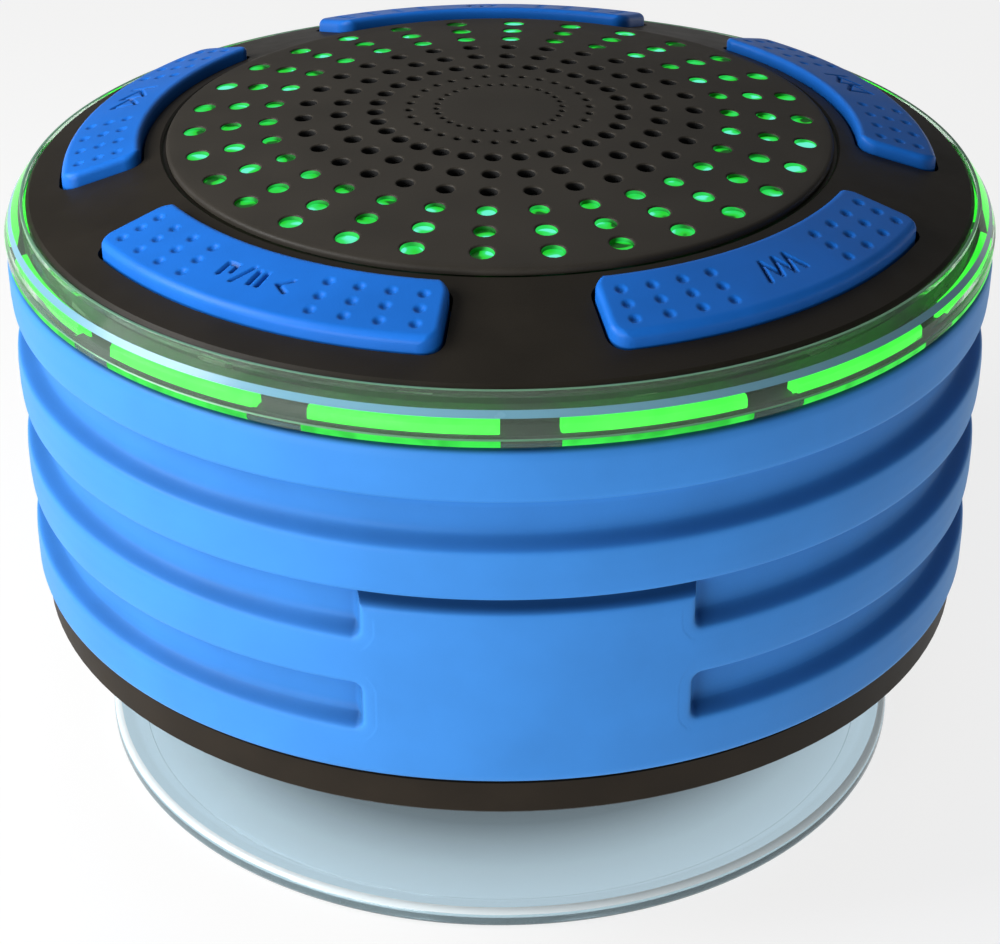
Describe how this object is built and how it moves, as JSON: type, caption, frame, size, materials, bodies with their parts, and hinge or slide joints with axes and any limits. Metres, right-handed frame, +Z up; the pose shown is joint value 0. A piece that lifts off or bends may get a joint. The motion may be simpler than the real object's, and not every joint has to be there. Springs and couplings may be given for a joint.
{
  "type": "shower speaker",
  "caption": "Round waterproof shower speaker with ribbed silicone sleeve, domed drilled grille, rubber buttons, clear light ring and screw-on suction cup.",
  "frame": {"origin": "middle of the suction cup's rim plane, the surface the speaker stands on", "axes": "+Z up through the middle of the grille, -Y towards the smooth front panel, +X to the right"},
  "size_m": [0.1122, 0.1122, 0.0777],
  "materials": {
    "clear_vinyl": "clear, glossy soft vinyl",
    "clear_stud": "clear, polished",
    "black_rubber": "matt",
    "dark_base": "fine matt texture",
    "brass": "knurled",
    "seal_rubber": "matt",
    "screw_steel": "zinc plated",
    "black_housing": "moulded, matt",
    "blue_silicone": "soft satin silicone",
    "flap_silicone": "soft satin silicone",
    "dark_plate": "matt, fine texture",
    "clear_ring": "clear polished acrylic",
    "green_light": "lit green, milky",
    "dark_grille": "matt, fine texture",
    "black_cloth": "fine acoustic cloth",
    "glow_plastic": "milky, lit from below",
    "button_silicone": "satin silicone",
    "white_plastic": "moulded",
    "circuit_board": "solder mask",
    "black_component": "moulded",
    "led_package": "white package",
    "nickel": "nickel plated",
    "black_basket": "powder coated",
    "ferrite": "dark grey ceramic",
    "plated_steel": "zinc plated",
    "copper_coil": "enamelled copper wire",
    "black_cone": "pressed polypropylene",
    "spider_fabric": "resin-treated cloth",
    "battery_foil": "laminated foil pouch",
    "wire_red": "insulated",
    "wire_orange": "insulated",
    "ribbon": "flat flex cable"
  },
  "bodies": {
    "main": {"base_cover": "dark_base", "threaded_insert": "brass", "base_seal": "seal_rubber", "base_screws": "screw_steel", "housing": "black_housing", "silicone_sleeve": "blue_silicone", "top_plate": "dark_plate", "plate_screws": "screw_steel", "top_seal": "seal_rubber", "light_ring": "clear_ring", "light_bars": "green_light", "grille_disc": "dark_grille", "grille_cloth": "black_cloth", "glow_diffuser": "glow_plastic", "control_board": "circuit_board", "switch_bodies": "black_component", "grille_leds": "led_package", "ring_leds": "led_package", "microphone": "nickel", "driver_basket": "black_basket", "driver_gasket": "seal_rubber", "driver_screws": "screw_steel", "driver_magnet": "ferrite", "driver_yoke": "plated_steel", "driver_pole_plate": "plated_steel", "main_board": "circuit_board", "board_screws": "screw_steel", "board_chips": "black_component", "wireless_module": "nickel", "usb_socket": "nickel", "battery_cell": "battery_foil", "battery_wires": "wire_red", "speaker_wires": "wire_orange", "board_ribbon": "ribbon"},
    "mode_button": {"button_mode": "button_silicone", "plunger_mode": "white_plastic"},
    "next_button": {"button_next": "button_silicone", "plunger_next": "white_plastic"},
    "power_button": {"button_power": "button_silicone", "plunger_power": "white_plastic"},
    "previous_button": {"button_previous": "button_silicone", "plunger_previous": "white_plastic"},
    "play_button": {"button_play": "button_silicone", "plunger_play": "white_plastic"},
    "cone": {"voice_coil": "copper_coil", "driver_cone": "black_cone", "dust_cap": "black_cone", "driver_surround": "black_rubber", "driver_spider": "spider_fabric"},
    "flap": {"port_flap": "flap_silicone"},
    "washer": {"cup_washer": "black_rubber"},
    "cup": {"suction_cup": "clear_vinyl", "cup_stud": "clear_stud"}
  },
  "joints": [
    {"name": "mode_press", "type": "slide", "parent": "main", "child": "mode_button", "axis": [0, 0, -1], "range_m": [0, 0.0005], "stiffness_N_per_m": 800},
    {"name": "next_press", "type": "slide", "parent": "main", "child": "next_button", "axis": [0, 0, -1], "range_m": [0, 0.0005], "stiffness_N_per_m": 800},
    {"name": "power_press", "type": "slide", "parent": "main", "child": "power_button", "axis": [0, 0, -1], "range_m": [0, 0.0005], "stiffness_N_per_m": 800},
    {"name": "previous_press", "type": "slide", "parent": "main", "child": "previous_button", "axis": [0, 0, -1], "range_m": [0, 0.0005], "stiffness_N_per_m": 800},
    {"name": "play_press", "type": "slide", "parent": "main", "child": "play_button", "axis": [0, 0, -1], "range_m": [0, 0.0005], "stiffness_N_per_m": 800},
    {"name": "cone_travel", "type": "slide", "parent": "main", "child": "cone", "axis": [0, 0, 1], "range_m": [-0.0015, 0.0015], "stiffness_N_per_m": 900, "deforming": ["driver_surround", "driver_spider"]},
    {"name": "flap_hinge", "type": "hinge", "parent": "main", "child": "flap", "pos_m": [0, 0.055, 0.0342], "axis": [-1, 0, 0], "range_deg": [0, 95]},
    {"name": "washer_lower", "type": "slide", "parent": "main", "child": "washer", "axis": [0, 0, -1], "range_m": [0, 0.008]},
    {"name": "cup_unscrew", "type": "hinge", "parent": "washer", "child": "cup", "pos_m": [0, 0, 0.02], "axis": [0, 0, -1], "range_deg": [0, 1440]}
  ],
  "couplings": [
    {"joint": "washer_lower", "follows": "cup_unscrew", "m_per_rad": 0.00031831}
  ]
}
